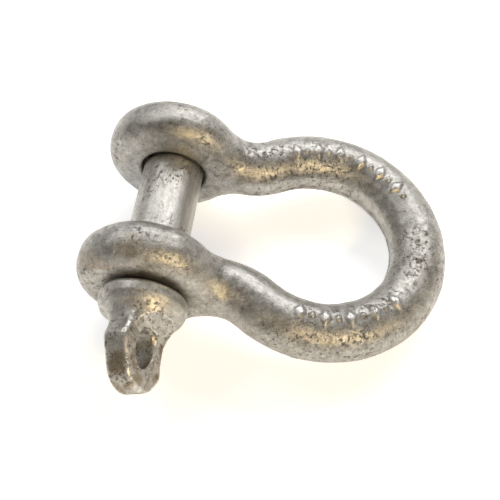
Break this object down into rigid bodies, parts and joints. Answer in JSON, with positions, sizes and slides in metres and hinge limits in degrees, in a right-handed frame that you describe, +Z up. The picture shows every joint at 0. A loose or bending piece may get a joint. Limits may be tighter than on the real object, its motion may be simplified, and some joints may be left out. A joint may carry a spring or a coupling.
{
  "type": "screw-pin bow shackle",
  "caption": "Forged galvanised bow shackle with a rounded bow, two eyes and a threaded screw pin turned by an eyed tab.",
  "frame": {"origin": "middle of the bottom of the bounding box, on the surface that the shackle lies on", "axes": "+X from the pin towards the crown of the bow, +Y along the pin from its head to its threaded end, +Z up"},
  "size_m": [0.1216, 0.1096, 0.0468],
  "materials": {
    "bow_zinc": "hot-dip galvanised, mottled satin grey",
    "shank_zinc": "galvanised, smoother satin",
    "head_zinc": "hot-dip galvanised, pitted",
    "thread_zinc": "galvanised thread"
  },
  "bodies": {
    "bow": {"bow": "bow_zinc"},
    "pin_slide": {"pin_shank": "shank_zinc"},
    "pin_screw": {"pin_head": "head_zinc", "pin_thread": "thread_zinc"}
  },
  "joints": [
    {"name": "pin_travel", "type": "slide", "parent": "bow", "child": "pin_slide", "axis": [0, -1, 0], "range_m": [-0.0008, 0.072]},
    {"name": "pin_turn", "type": "hinge", "parent": "pin_slide", "child": "pin_screw", "pos_m": [-0.03683, 0.01088, 0.0233], "axis": [0, -1, 0], "range_deg": [-102.86, 9257.2]}
  ],
  "couplings": [
    {"joint": "pin_turn", "follows": "pin_travel", "rad_per_m": 2244}
  ]
}
